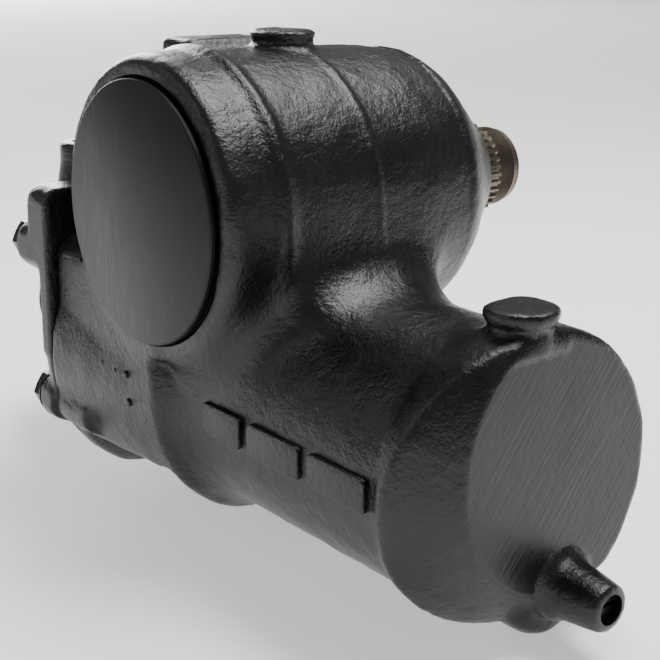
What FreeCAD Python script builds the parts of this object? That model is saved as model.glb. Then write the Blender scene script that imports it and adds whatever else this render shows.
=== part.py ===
"""Integral power steering gear of the recirculating-ball type for a heavy truck.

Frame: the Y axis is the sector shaft's axis and +Y points out of the splined output end.
The piston and worm lie along X, below the sector shaft, and +X points at the closed end
of the cylinder.  +Z is up.  The origin is on the sector shaft's axis where the output
serration starts.  All lengths are in millimetres.
"""
import FreeCAD, Part
import math
import os

os.makedirs("parts", exist_ok=True)

# ---------------------------------------------------------------- driving dimensions
COVER_Y = -203.0          # outer face of the round cover cap
PISTON_Y = -124.0         # piston and worm axis, along X
PISTON_Z = -94.0
BORE_R = 52.0             # cylinder bore
BORE_END_X = 158.0        # closed end of the bore
SEAM_X = -93.0            # joint face between gear housing and valve housing
END_FACE_X = 185.0        # outside of the closed end
BARREL_R = 62.7           # outside of the cylinder
NECK_R = 79.5             # outside of the neck at the joint face
RIM_R = 72.2              # sharp rim where the neck ends
WAIST_R = 62.0            # hollow under the neck
END_R = 69.5              # thick end section, set off towards +Y and -Z
END_SHIFT = 2.0
PITCH_R = 52.0            # sector pitch radius
GEAR_TEETH = 12           # teeth on the full circle the sector is cut from
PRESSURE_ANGLE = math.radians(25.0)
SECTOR_TIP_R = 60.0
SECTOR_ROOT_R = 42.5
SECTOR_HUB_R = 33.0
BACKLASH = 0.16           # taken off each sector tooth at the pitch circle
RACK_TIP = 50.0           # heights above the piston axis
RACK_ROOT = 32.7
COVER_BORE_R = 61.5
LEAD = 15.0               # worm lead, right hand
BALL_R = 4.0
BALL_PITCH_R = 18.0
GROOVE_R = 4.15
TRACK_END_X = 3.0         # loaded turns run from here
TRACK_START_X = -42.0     # to here, three turns in the piston
JOURNAL_R = 27.0          # sector shaft journal
LAND_R = 26.2             # plain land under the dust seal
SERRATION_TEETH = 36
SERRATION_R = 25.6
SERRATION_ROOT_R = 23.7
THREAD_R = 22.0
THREAD_PITCH = 1.5
PILOT_R = 20.7            # plain end beyond the thread
GAP = 0.05                # radial running clearance
BOLT_R = 7.0              # M14 joint bolts

X_AXIS = FreeCAD.Vector(1, 0, 0)
Y_AXIS = FreeCAD.Vector(0, 1, 0)
Z_AXIS = FreeCAD.Vector(0, 0, 1)
ORIGIN = FreeCAD.Vector(0, 0, 0)


def vec(x, y, z):
    return FreeCAD.Vector(x, y, z)


def depth(distance):
    """Y of a plane the given distance behind the cover cap's face."""
    return COVER_Y + distance


def across(distance):
    """Y of a plane the given distance from the piston axis."""
    return PISTON_Y + distance


# ---------------------------------------------------------------- shape helpers
def rod_x(radius, x0, x1, y=PISTON_Y, z=PISTON_Z):
    return Part.makeCylinder(radius, x1 - x0, vec(x0, y, z), X_AXIS)


def rod_y(radius, y0, y1, x=0.0, z=0.0):
    return Part.makeCylinder(radius, y1 - y0, vec(x, y0, z), Y_AXIS)


def rod_z(radius, z0, z1, x, y):
    return Part.makeCylinder(radius, z1 - z0, vec(x, y, z0), Z_AXIS)


def ring_x(outer, inner, x0, x1, y=PISTON_Y, z=PISTON_Z):
    return rod_x(outer, x0, x1, y, z).cut(rod_x(inner, x0 - 1, x1 + 1, y, z))


def ring_y(outer, inner, y0, y1, x=0.0, z=0.0):
    return rod_y(outer, y0, y1, x, z).cut(rod_y(inner, y0 - 1, y1 + 1, x, z))


def box(x0, x1, y0, y1, z0, z1):
    return Part.makeBox(x1 - x0, y1 - y0, z1 - z0, vec(x0, y0, z0))


def face_of(points):
    return Part.Face(Part.makePolygon(points + points[:1]))


def turn_y(profile, x=0.0, z=0.0):
    """Solid of revolution about a line along Y from (y, radius) points."""
    ends = [(profile[-1][0], 0.0), (profile[0][0], 0.0)]
    points = [vec(x + radius, y, z) for y, radius in profile + ends]
    return face_of(points).revolve(vec(x, 0, z), Y_AXIS, 360)


def turn_x(profile, y=PISTON_Y, z=PISTON_Z):
    """Solid of revolution about a line along X from (x, radius) points."""
    ends = [(profile[-1][0], 0.0), (profile[0][0], 0.0)]
    points = [vec(x, y, z + radius) for x, radius in profile + ends]
    return face_of(points).revolve(vec(0, y, z), X_AXIS, 360)


def turn_z(profile, x, y):
    """Solid of revolution about a line along Z from (z, radius) points."""
    ends = [(profile[-1][0], 0.0), (profile[0][0], 0.0)]
    points = [vec(x + radius, y, z) for z, radius in profile + ends]
    return face_of(points).revolve(vec(x, y, 0), Z_AXIS, 360)


def torus_x(major, minor, x, y=PISTON_Y, z=PISTON_Z):
    return Part.makeTorus(major, minor, vec(x, y, z), X_AXIS)


def hexagon(axis, centre, across_flats, height):
    """Hexagonal prism standing on centre, along a unit axis."""
    corner = across_flats / math.sqrt(3.0)
    side = vec(0, 0, 1) if abs(axis.z) < 0.5 else vec(1, 0, 0)
    other = axis.cross(side)
    points = []
    for step in range(6):
        angle = math.radians(60 * step + 30)
        points.append(centre + side * (corner * math.cos(angle)) + other * (corner * math.sin(angle)))
    return face_of(points).extrude(axis * height)


def fuse(shapes):
    return shapes[0].multiFuse(shapes[1:]).removeSplitter() if len(shapes) > 1 else shapes[0]


def export(name, shape):
    if isinstance(shape, list):
        shape = Part.makeCompound(shape)
    shape.exportStep("parts/" + name + ".step")


# ---------------------------------------------------------------- places
JOINT_BOLTS = [(across(-66.0), -121.0, -109.5), (across(-66.0), -38.0, -126.0),
               (across(66.0), -38.0, -118.0), (across(64.0), -124.0, -109.5)]
EAR_TOP_Z = -3.0
FLAT_BOTTOM_Z = -162.0
MOUNT_PAD_Y = across(82.0)
MOUNT_X = (-58.0, 100.0)
MOUNT_Z = (-126.0, -70.0)
MOUNT_HOLE_DEPTH = 22.0
MOUNT_HOLE_R = 9.0        # M18 tapped
PORT_X = -122.0
PORT_Y = (across(-36.0), across(14.0))
PORT_TOP_Z = 15.0
PASSAGES = [(-131.0, PORT_Y[0], PISTON_Z - 3), (PORT_X, PORT_Y[1], PISTON_Z + 16)]   # x, y and floor
PRESSURE_GROOVE_X = -135.0        # ring groove of the sleeve that the pressure port feeds
PORT_R = 8.5              # M18 x 1.5 hydraulic port
RELIEF_X = PRESSURE_GROOVE_X
RELIEF_Z = -72.0
LIMITER_Y = across(20.7)
LIMITER_Z = -145.7
LIMITER_TOP_X = 212.0
LOBE_Y = across(24.0)
LOBE_Z = -148.5
LOBE_R = 26.6
GATE_PAD_TOP_Z = 81.0
END_PAD_TOP_Z = -17.0
HOUSING_END = 200.5       # depth of the housing's output end
SEAL_SHOULDER = depth(172.0)
SEAL_SNAP = depth(154.0)
SEAL_BACK = depth(156.2)
SEAL_FRONT = depth(160.0)
COLLAR_X = (-119.5, -113.5)
STOP_ANGLE = 5.0          # input shaft twist allowed against the worm, each way
CLAMP_SCREW_X = (-49.2, 10.2)
RETURN_BEND_R = 12.0
SLEEVE_RING_X = (-168.4, -155.2, -141.8, -128.6)
SEAM_GROOVE_R = (58.0, 62.0)      # O-ring groove in the gear housing's joint face
SEAM_GROOVE_DEPTH = 3.9
LAND_START_X = -205.5     # plain land of the input shaft
LAND_END_X = -214.0


# ---------------------------------------------------------------- gear housing
def drum_outside():
    """Sector shaft housing: rim, raised band, belt line and the round shoulder at the output end."""
    profile = [(4, 67), (4.5, 70), (7, 72), (12, 73), (28, 73.5), (33, 75.5), (38, 74.5), (88, 74), (95, 73),
               (128, 72.5), (150, 70), (156, 68.5), (160, 66.3), (168, 60), (176, 53), (184, 46), (192, 40),
               (HOUSING_END, 33.8)]
    return turn_y([(depth(d), r) for d, r in profile])


def barrel_outside():
    """Cylinder with the neck behind the joint face, which ends in a sharp rim with a hollow behind it."""
    profile = [(SEAM_X, NECK_R), (0, RIM_R), (2, 71.2), (8, 67), (16, 64), (28, BARREL_R), (156, BARREL_R)]
    return turn_x(profile)


def end_section():
    """Thick closed end, slightly off the cylinder's axis."""
    profile = [(144, BARREL_R - 4), (150, BARREL_R), (156, END_R - 3.5), (162, END_R - 1.5), (170, END_R),
               (180, END_R), (183.5, END_R - 2), (END_FACE_X, END_R - 6)]
    section = turn_x(profile, PISTON_Y + END_SHIFT, PISTON_Z - 0.75 * END_SHIFT)
    soft_lower_edge = Part.makeSphere(111.0, vec(100, across(16), PISTON_Z + 15.5))
    return section.common(soft_lower_edge)


def limiter_lobe():
    """Rounded lobe under the end section and the tapered boss of the stroke limiter."""
    lobe = turn_x([(130, 8), (146, 22), (156, 26), (164, LOBE_R), (172, LOBE_R), (176, 24.5), (178, 20)],
                  LOBE_Y, LOBE_Z)
    boss = turn_x([(150, 15.5), (188, 15.5), (189, 13.7), (LIMITER_TOP_X - 1, 10.7), (LIMITER_TOP_X, 9.8)],
                  LIMITER_Y, LIMITER_Z)
    return fuse([lobe, boss])


def neck_outside():
    """Square shoulders of the joint flange, above the piston axis."""
    block = box(SEAM_X, 0, depth(5.5), across(76), -100, -28)
    edges = [e for e in block.Edges if abs(e.Length + SEAM_X) < 0.01 and e.CenterOfMass.z > -30]
    return block.makeFillet(12, edges)


def neck_hollow():
    """Takes the underside of the neck down to a waist between the joint face and the sharp rim."""
    waist = turn_x([(-86, NECK_R), (-82, 77), (-72, 67), (-62, WAIST_R), (-18, WAIST_R), (-9, WAIST_R + 1.5),
                    (-4, WAIST_R + 5), (-2.5, RIM_R + 2)])
    around = rod_x(NECK_R + 15, -86, -2.5)
    below = box(-90, 0, across(-100), across(100), PISTON_Z - 110, PISTON_Z - 30)
    below.rotate(vec(0, PISTON_Y, PISTON_Z), X_AXIS, -12)
    return around.cut(waist).common(below).fuse(flat_bottom())


def flat_bottom():
    """Flat under both halves of the joint."""
    return box(-120, -50, across(-80), across(80), FLAT_BOTTOM_Z - 20, FLAT_BOTTOM_Z)


def saddle():
    """Web that blends the drum into the top of the barrel, concave towards +X and -X."""
    fillet_r = 34.0
    drum_r = 70.0
    top = PISTON_Z + 62.0
    centre_z = top + fillet_r
    centre_x = math.sqrt((drum_r + fillet_r) ** 2 - centre_z ** 2)
    touch = vec(drum_r * centre_x / (drum_r + fillet_r), 0, drum_r * centre_z / (drum_r + fillet_r))
    mid_angle = 1.25 * math.pi
    middle = vec(centre_x + fillet_r * math.cos(mid_angle), 0, centre_z + fillet_r * math.sin(mid_angle))
    foot = vec(centre_x, 0, top)
    arc = Part.Arc(touch, middle, foot).toShape()
    corners = [foot, vec(centre_x, 0, top - 30), vec(0, 0, top - 30), vec(0, 0, touch.z), touch]
    lines = [Part.LineSegment(start, end).toShape() for start, end in zip(corners, corners[1:])]
    web = Part.Face(Part.Wire([arc] + lines)).extrude(vec(0, 92, 0))
    web.translate(vec(0, across(-46), 0))
    return web


def gate_pads():
    """Broken-off casting gates on the drum and on the end section, each on a short stalk."""
    drum_pad = [(62, 24), (70, 19), (74, 15), (77, 14.5), (78.5, 16.5), (80, 16.5), (GATE_PAD_TOP_Z, 15.5)]
    end_pad = [(-54, 6), (-38, 12), (-27, 14.5), (-23.5, 14.5), (-22, 16), (-18.5, 16), (END_PAD_TOP_Z, 15)]
    return fuse([turn_z(drum_pad, 0, depth(85)), turn_z(end_pad, 176, across(-2))])


def mounting_pads():
    return [rod_y(19, across(40), MOUNT_PAD_Y, x, z) for x in MOUNT_X for z in MOUNT_Z]


def joint_bolt_bosses():
    """Bosses beside the hollow of the neck for the two lower joint bolts."""
    return [rod_x(11.5, SEAM_X, SEAM_X + 31, y, z) for y, z, _ in JOINT_BOLTS if z < PISTON_Z]


def gear_housing():
    body = fuse([drum_outside(), barrel_outside(), end_section(), neck_outside(), saddle()])
    lug = box(-46, -20, depth(44), depth(92), 45, 76)
    body = fuse([body.cut(neck_hollow()), limiter_lobe(), gate_pads(), flank_panel(), lug]
                + mounting_pads() + joint_bolt_bosses())
    cuts = [
        rod_x(BORE_R, SEAM_X - 1, BORE_END_X),
        rod_y(COVER_BORE_R, COVER_Y - 1, depth(111)),
        ring_y(61, 47, depth(100), depth(146)),
        rod_y(35, depth(105), SEAL_SHOULDER),
        rod_y(27.6, depth(150), depth(194)),
        rod_y(31, depth(193), depth(HOUSING_END + 1)),
        rod_y(65, depth(7.0), depth(9.6)),                                 # cover ring groove
        rod_y(37.5, depth(154.0), depth(156.0)),                           # seal ring groove
        rod_x(7.0, 170, LIMITER_TOP_X + 1, LIMITER_Y, LIMITER_Z),
        rod_x(4.2, 150, 171, LIMITER_Y, LIMITER_Z),
        rod_x(9.0, 144, BORE_END_X, LIMITER_Y, LIMITER_Z),
        ring_x(SEAM_GROOVE_R[1], SEAM_GROOVE_R[0], SEAM_X - 1, SEAM_X + SEAM_GROOVE_DEPTH),
    ]
    cuts += [rod_y(MOUNT_HOLE_R, MOUNT_PAD_Y - MOUNT_HOLE_DEPTH, MOUNT_PAD_Y + 1, x, z)
             for x in MOUNT_X for z in MOUNT_Z]
    cuts += [rod_x(BOLT_R, SEAM_X - 1, SEAM_X + 28.5, y, z) for y, z, _ in JOINT_BOLTS]
    return body.cut(fuse(cuts))


def flank_panel():
    """Plain raised panel on the barrel's flank."""
    plate = box(30, 150, across(-66), across(-55), PISTON_Z - 7, PISTON_Z + 8)
    return plate.common(ring_x(BARREL_R + 2.0, 60, 20, 156))


# ---------------------------------------------------------------- cover side
def cover_cap():
    """Thin dished cap that closes the cover bore, standing just proud of the rim."""
    plate = turn_y([(depth(0), 61.2), (depth(0.8), 62), (depth(2.5), 62)])
    neck = ring_y(59.0, 56.5, depth(2.4), depth(4.6))
    skirt = ring_y(COVER_BORE_R, 56.5, depth(4.5), depth(6.6))
    return fuse([plate, neck, skirt])


def cover_snap_ring():
    ring = ring_y(64.9, 59.2, depth(7.05), depth(9.5))
    return ring.cut(box(-9, 9, depth(6), depth(10), -70, -50))


def side_cover():
    body = fuse([rod_y(COVER_BORE_R - 0.03, depth(9.6), depth(23)), rod_y(35, depth(22), depth(47))])
    for step in range(6):
        rib = box(0, 52, depth(22), depth(30), -3, 3)
        rib.rotate(ORIGIN, Y_AXIS, 60 * step)
        body = body.fuse(rib)
    cuts = [rod_y(15, depth(9), depth(15.5)), rod_y(6.0, depth(9), depth(30)),
            rod_y(25.5, depth(23.5), depth(48)),
            ring_y(62, 57.6, depth(15), depth(19))]
    return body.cut(fuse(cuts))


def cover_o_ring():
    return ring_y(COVER_BORE_R - 0.02, 57.65, depth(15.1), depth(18.9))


def lash_adjuster():
    """Adjusting screw: slot outside, T-head held in the end of the sector shaft."""
    stem = fuse([rod_y(6.0 - GAP, depth(9.8), depth(33)), rod_y(8.7, depth(33), depth(37.5))])
    return stem.cut(box(-7, 7, depth(9), depth(12), -0.8, 0.8))


def adjuster_lock_nut():
    nut = hexagon(Y_AXIS, vec(0, depth(10.2), 0), 19, 5.2)
    return nut.cut(rod_y(6.0 - GAP, depth(9), depth(17)))


def needle_row(radius, roller_r, count, y0, y1):
    rollers = []
    for step in range(count):
        angle = 2 * math.pi * step / count
        rollers.append(rod_y(roller_r, y0, y1, radius * math.cos(angle), radius * math.sin(angle)))
    return rollers


# ---------------------------------------------------------------- sector shaft
def involute(angle):
    return math.tan(angle) - angle


def sector_tooth(centre):
    """Outline points of one tooth, from its left root to its right root; centre in radians from -Z."""
    base_r = PITCH_R * math.cos(PRESSURE_ANGLE)
    half = (math.pi * PITCH_R / GEAR_TEETH - BACKLASH) / (2 * PITCH_R)
    flank = []
    steps = 8
    for step in range(steps + 1):
        radius = base_r + (SECTOR_TIP_R - base_r) * step / steps
        offset = half + involute(PRESSURE_ANGLE) - involute(math.acos(base_r / radius))
        flank.append((radius, offset))
    left = [(r, centre - a) for r, a in flank]
    right = [(r, centre + a) for r, a in reversed(flank)]
    foot = [(SECTOR_ROOT_R, centre - flank[0][1] - 0.012)]
    toe = [(SECTOR_ROOT_R, centre + flank[0][1] + 0.012)]
    return foot + left + right + toe


def polar(radius, angle, y):
    """Point at an angle from straight down, positive towards +X."""
    return vec(radius * math.sin(angle), y, -radius * math.cos(angle))


def sector_teeth(y0, y1):
    centres = [math.radians(a) for a in (-45, -15, 15, 45)]
    outline = [ORIGIN + vec(0, y0, 0)]
    for centre in centres:
        outline += [polar(r, a, y0) for r, a in sector_tooth(centre)]
    return face_of(outline).extrude(vec(0, y1 - y0, 0))


def serration(y0, y1):
    """Straight 60-degree serration between root and major radius."""
    pitch = 2 * math.pi / SERRATION_TEETH
    points = []
    for tooth in range(SERRATION_TEETH):
        for share, radius in ((-0.36, SERRATION_ROOT_R), (-0.13, SERRATION_R), (0.13, SERRATION_R),
                              (0.36, SERRATION_ROOT_R)):
            points.append(polar(radius, (tooth + share) * pitch, y0))
    return face_of(points).extrude(vec(0, y1 - y0, 0))


def thread_rings(y0, y1):
    """Ridged stem: one 60-degree ridge per thread pitch."""
    depth_of_thread = 0.61 * THREAD_PITCH
    count = int((y1 - y0 - 2.5) / THREAD_PITCH)
    profile = [(y0, THREAD_R - depth_of_thread)]
    start = y0 + 0.6
    for turn in range(count):
        left = start + turn * THREAD_PITCH
        profile += [(left, THREAD_R - depth_of_thread), (left + 0.66, THREAD_R), (left + 0.84, THREAD_R)]
    profile += [(start + count * THREAD_PITCH, THREAD_R - depth_of_thread), (y1, PILOT_R)]
    return turn_y(profile)


def sector_shaft():
    body = fuse([
        rod_y(20 - GAP, depth(24.5), depth(52)),
        rod_y(SECTOR_HUB_R, depth(51.5), depth(107)),
        sector_teeth(depth(51.5), depth(106.5)),
        turn_y([(depth(106), JOURNAL_R), (depth(185.5), JOURNAL_R), (depth(186), LAND_R),
                (depth(203), LAND_R), (depth(203.6), SERRATION_ROOT_R), (depth(204.5), SERRATION_ROOT_R)]),
        serration(depth(203), depth(216)),
        turn_y([(depth(215), SERRATION_ROOT_R), (depth(216), SERRATION_ROOT_R),
                (depth(217.5), THREAD_R - 1.0), (depth(218.5), THREAD_R - 1.0)]),
        thread_rings(depth(218), depth(233)),
        turn_y([(depth(232.5), PILOT_R), (depth(235.1), PILOT_R), (depth(235.5), PILOT_R - 0.5)]),
    ])
    adjuster_pocket = rod_y(9.4, depth(24), depth(39))
    lathe_centre = rod_y(3.2, depth(231), depth(236))
    return body.cut(fuse([adjuster_pocket, lathe_centre]))


def adjuster_retainer():
    return ring_y(9.4, 6.2, depth(25.5), depth(31.5))


# ---------------------------------------------------------------- output bearing and seals
def output_oil_seal():
    case = ring_y(34.97, 30.5, SEAL_FRONT, depth(170)).cut(ring_y(33.6, 29.0, SEAL_FRONT - 1, depth(168.5)))
    lip = ring_y(33.5, JOURNAL_R + GAP, depth(163.5), depth(168.4))
    return fuse([case, lip, ring_y(31, JOURNAL_R + GAP, depth(168.3), depth(170))])


def seal_back_up_ring():
    return ring_y(34.9, JOURNAL_R + 0.4, SEAL_BACK, SEAL_FRONT - 0.2)


def seal_snap_ring():
    ring = ring_y(37.4, 31.0, SEAL_SNAP + 0.05, SEAL_SNAP + 1.95)
    return ring.cut(box(-5, 5, SEAL_SNAP - 1, SEAL_SNAP + 3, 28, 40))


def output_dust_seal():
    """Rubber scraper in the mouth of the housing, its lip on the shaft's land."""
    profile = [(depth(193.05), 30.9), (depth(200.5), 30.9), (depth(202.2), 29.5), (depth(202.5), 27.6)]
    body = turn_y(profile).cut(rod_y(LAND_R + GAP, depth(192), depth(204)))
    return body.cut(ring_y(29.6, 27.6, depth(192), depth(197)))


# ---------------------------------------------------------------- rack piston
def rack_cutter():
    """Everything above the rack: flat at the tooth tips plus the tooth spaces."""
    pitch = 2 * math.pi * PITCH_R / GEAR_TEETH
    pitch_line = -PISTON_Z - PITCH_R
    slope = math.tan(PRESSURE_ANGLE)
    half_root = pitch / 4 - (pitch_line - RACK_ROOT) * slope
    half_tip = pitch / 4 + (RACK_TIP - pitch_line) * slope
    y0 = across(-60)
    top = PISTON_Z + 60
    cutters = []
    for centre in (-1.5 * pitch, -0.5 * pitch, 0.5 * pitch, 1.5 * pitch):
        half_top = half_tip + (60 - RACK_TIP) * slope
        root_z = PISTON_Z + RACK_ROOT
        points = [vec(centre - half_root, y0, root_z), vec(centre + half_root, y0, root_z),
                  vec(centre + half_top, y0, top), vec(centre - half_top, y0, top)]
        cutters.append(face_of(points).extrude(vec(0, 120, 0)))
    reach = 1.5 * pitch + half_tip
    cutters.append(box(-reach, reach, y0, y0 + 120, PISTON_Z + RACK_TIP, top))
    return fuse(cutters)


def helix_cutter(x0, x1):
    """Ball track: a round section carried along the right-hand worm helix from x0 to x1."""
    helix = Part.makeLongHelix(LEAD, x1 - x0, BALL_PITCH_R, 0)
    section = Part.Wire([Part.makeCircle(GROOVE_R, vec(BALL_PITCH_R, 0, 0), Y_AXIS)])
    track = Part.Wire(helix.Edges).makePipeShell([section], True, True)
    track.rotate(ORIGIN, Y_AXIS, 90)
    track.translate(vec(x0, PISTON_Y, PISTON_Z))
    track.rotate(vec(0, PISTON_Y, PISTON_Z), X_AXIS, track_angle(x0))
    return track


def track_angle(x):
    """Angle of the ball track about the worm axis at a given X, in degrees."""
    return 360.0 * (x - TRACK_END_X) / LEAD


def rack_piston():
    body = turn_x([(-58, BORE_R - 1.5), (-56.5, BORE_R - GAP), (98.5, BORE_R - GAP), (100, BORE_R - 1.5)])
    cuts = [
        rod_x(19.0, -60, 90),
        rod_x(24, 86, 101),
        ring_x(53, 47.6, 88, 91.2),
        return_path(5.45),
        box(TRACK_START_X - 5.4, TRACK_END_X + 5.4, across(-5.45), across(5.45),
            PISTON_Z - 53, PISTON_Z - 38),
        box(-53, 14, across(-9), across(9), PISTON_Z - 53, PISTON_Z - 45.6),
    ]
    cuts += [rod_z(2.5, PISTON_Z - 50, PISTON_Z - 37, x, PISTON_Y) for x in CLAMP_SCREW_X]
    return body.cut(rack_cutter()).cut(fuse(cuts)).cut(helix_cutter(TRACK_START_X, TRACK_END_X))


def piston_seal_ring():
    return ring_x(BORE_R - 0.02, 48.9, 88.05, 91.15)


def piston_o_ring():
    return ring_x(48.85, 47.65, 88.2, 91.0)


def piston_plug():
    plug = fuse([rod_x(23.95, 86.1, 96), rod_x(20, 96, 97.5)])
    socket = hexagon(X_AXIS, vec(91, PISTON_Y, PISTON_Z), 14, 8)
    return plug.cut(socket)


def return_path(radius):
    """U-shaped way under the piston that joins the two ends of the ball track."""
    top_z = PISTON_Z - 19.2
    bend_z = PISTON_Z - 26.0
    low_z = bend_z - RETURN_BEND_R
    diagonal = RETURN_BEND_R * math.sqrt(0.5)
    left = TRACK_START_X + RETURN_BEND_R
    right = TRACK_END_X - RETURN_BEND_R
    points = [vec(TRACK_START_X, PISTON_Y, top_z), vec(TRACK_START_X, PISTON_Y, bend_z),
              vec(left - diagonal, PISTON_Y, bend_z - diagonal), vec(left, PISTON_Y, low_z),
              vec(right, PISTON_Y, low_z), vec(right + diagonal, PISTON_Y, bend_z - diagonal),
              vec(TRACK_END_X, PISTON_Y, bend_z), vec(TRACK_END_X, PISTON_Y, top_z)]
    edges = [Part.LineSegment(points[0], points[1]), Part.Arc(points[1], points[2], points[3]),
             Part.LineSegment(points[3], points[4]), Part.Arc(points[4], points[5], points[6]),
             Part.LineSegment(points[6], points[7])]
    route = Part.Wire([edge.toShape() for edge in edges])
    section = Part.Wire([Part.makeCircle(radius, points[0], Z_AXIS)])
    return route.makePipeShell([section], True, False)


def ball_return_guide():
    return return_path(5.4).cut(return_path(4.35))


def guide_clamp():
    """Strap that holds the return guide in its groove."""
    strap = box(-52.8, 13.8, across(-8.9), across(8.9), PISTON_Z - 49.5, PISTON_Z - 45.7)
    rib = box(TRACK_START_X + 6, TRACK_END_X - 6, across(-5.3), across(5.3), PISTON_Z - 45.8, PISTON_Z - 43.5)
    holes = [rod_z(2.7, PISTON_Z - 50, PISTON_Z - 45, x, PISTON_Y) for x in CLAMP_SCREW_X]
    return fuse([strap, rib]).cut(fuse(holes))


def guide_clamp_screws():
    screws = []
    for x in CLAMP_SCREW_X:
        head = rod_z(3.6, PISTON_Z - 51.3, PISTON_Z - 49.5, x, PISTON_Y)
        slot = box(x - 5, x + 5, across(-0.5), across(0.5), PISTON_Z - 51.5, PISTON_Z - 50.6)
        screws.append(fuse([head.cut(slot), rod_z(2.5, PISTON_Z - 49.6, PISTON_Z - 38, x, PISTON_Y)]))
    return screws


def recirculating_balls():
    """Balls in the loaded turns between worm and piston."""
    arc = math.hypot(2 * math.pi * BALL_PITCH_R, LEAD)
    spacing = 2 * BALL_R + 0.12
    clear_of_guide = 1.5
    length = (TRACK_END_X - TRACK_START_X - 2 * clear_of_guide) / LEAD * arc
    balls = []
    for index in range(int(length / spacing) + 1):
        x = TRACK_START_X + clear_of_guide + index * spacing / arc * LEAD
        balls.append(Part.makeSphere(BALL_R, vec(x, *track_point(x))))
    return balls


def track_point(x):
    """Y and Z of the ball track's centre line at a given X."""
    angle = math.radians(track_angle(x))
    return PISTON_Y + BALL_PITCH_R * math.sin(angle), PISTON_Z - BALL_PITCH_R * math.cos(angle)


# ---------------------------------------------------------------- stroke limiter
def limiter_screw():
    body = rod_x(7.0 - 0.02, 184, 207.5, LIMITER_Y, LIMITER_Z)
    body = body.cut(ring_x(8, 5.6, 186, 188.6, LIMITER_Y, LIMITER_Z))
    return body.cut(box(205, 208, LIMITER_Y - 8, LIMITER_Y + 8, LIMITER_Z - 1.1, LIMITER_Z + 1.1))


def limiter_o_ring():
    return ring_x(6.97, 5.65, 186.1, 188.5, LIMITER_Y, LIMITER_Z)


def limiter_plunger():
    stem = rod_x(4.2 - GAP, 147, 171, LIMITER_Y, LIMITER_Z)
    head = rod_x(6.9, 170.2, 172.6, LIMITER_Y, LIMITER_Z)
    return fuse([stem, head])


def coil_spring(radius, wire_r, turns, start, end, axis):
    """Closed round-wire compression spring between two points."""
    length = (end - start).Length
    pitch = (length - 2 * wire_r) / turns
    helix = Part.makeLongHelix(pitch, pitch * turns, radius, 0)
    section = Part.Wire([Part.makeCircle(wire_r, vec(radius, 0, 0), Y_AXIS)])
    coil = Part.Wire(helix.Edges).makePipeShell([section], True, True)
    coil.translate(vec(0, 0, wire_r))
    coil.Placement = FreeCAD.Placement(start, FreeCAD.Rotation(Z_AXIS, axis)).multiply(coil.Placement)
    return coil


def limiter_spring():
    start = vec(172.7, LIMITER_Y, LIMITER_Z)
    end = vec(183.8, LIMITER_Y, LIMITER_Z)
    return coil_spring(5.0, 0.7, 4, start, end, X_AXIS)


# ---------------------------------------------------------------- worm and rotary valve
def worm_shaft():
    body = fuse([rod_x(17, -86, 44), rod_x(15.2, -126, -85), rod_x(24, *COLLAR_X)])
    body = body.cut(helix_cutter(-83, 52))
    cuts = [rod_x(5.0, -127, -60), rod_x(9.0 + GAP, -127, -103), stop_slot(), torsion_bar_pin()]
    return body.cut(fuse(cuts))


def stop_slot():
    """Bow-tie slot in the worm head; the input shaft's tongue strikes its sides."""
    blades = []
    for angle in (-STOP_ANGLE, 0, STOP_ANGLE):
        blade = box(-127, -112, across(-12.2), across(12.2), PISTON_Z - 4.15, PISTON_Z + 4.15)
        blade.rotate(vec(0, PISTON_Y, PISTON_Z), X_AXIS, angle)
        blades.append(blade)
    return fuse(blades)


def input_shaft():
    """Rotor of the rotary valve with the serrated stub for the steering column."""
    tongue = box(-126, -113, across(-12), across(12), PISTON_Z - 4, PISTON_Z + 4)
    tongue = tongue.common(rod_x(12, -126, -113))
    body = fuse([rod_x(15 - GAP, -172, -126.6), rod_x(14, LAND_START_X, -171.5), rod_x(11, LAND_END_X, -205),
                 rod_x(9.9, -215.5, LAND_END_X + 0.1), rod_x(10.8, -225, -215.4), tongue,
                 rod_x(9.0 - GAP, -127, -104)])
    grooves = []
    for step in range(6):
        flute = box(-166, -131, PISTON_Y + 13.4, PISTON_Y + 17, PISTON_Z - 2, PISTON_Z + 2)
        flute.rotate(vec(0, PISTON_Y, PISTON_Z), X_AXIS, 60 * step)
        grooves.append(flute)
    for step in range(24):
        groove = box(-226, -215, PISTON_Y + 9.9, PISTON_Y + 12, PISTON_Z - 0.6, PISTON_Z + 0.6)
        groove.rotate(vec(0, PISTON_Y, PISTON_Z), X_AXIS, 15 * step)
        grooves.append(groove)
    return body.cut(Part.makeCompound(grooves)).cut(rod_x(5.0 + GAP, -219, -100))


def torsion_bar():
    bar = fuse([rod_x(5.0, -74, -61), rod_x(3.6, -210, -73), rod_x(5.0, -218, -209)])
    return bar.cut(torsion_bar_pin())


def torsion_bar_pin():
    return rod_z(2.0, PISTON_Z - 12.5, PISTON_Z + 12.5, -68, PISTON_Y)


def valve_sleeve():
    """Sleeve of the rotary valve: three ring grooves, each with three ports."""
    body = fuse([ring_x(24 - GAP, 15 + GAP, -171, -126.1), ring_x(24 - GAP, 15.2, -126.2, -123.2)])
    for groove_x in (-162, -148.5, PRESSURE_GROOVE_X):
        body = body.cut(ring_x(25, 21.5, groove_x - 3, groove_x + 3))
        for step in range(3):
            port = rod_z(2.2, PISTON_Z + 14, PISTON_Z + 25, groove_x, PISTON_Y)
            port.rotate(vec(0, PISTON_Y, PISTON_Z), X_AXIS, 120 * step + 30)
            body = body.cut(port)
    for groove_x in SLEEVE_RING_X:
        body = body.cut(ring_x(25, 22.3, groove_x - 1, groove_x + 1))
    return body


def sleeve_seal_rings():
    return [ring_x(24 - GAP, 22.35, x - 0.95, x + 0.95) for x in SLEEVE_RING_X]


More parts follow.
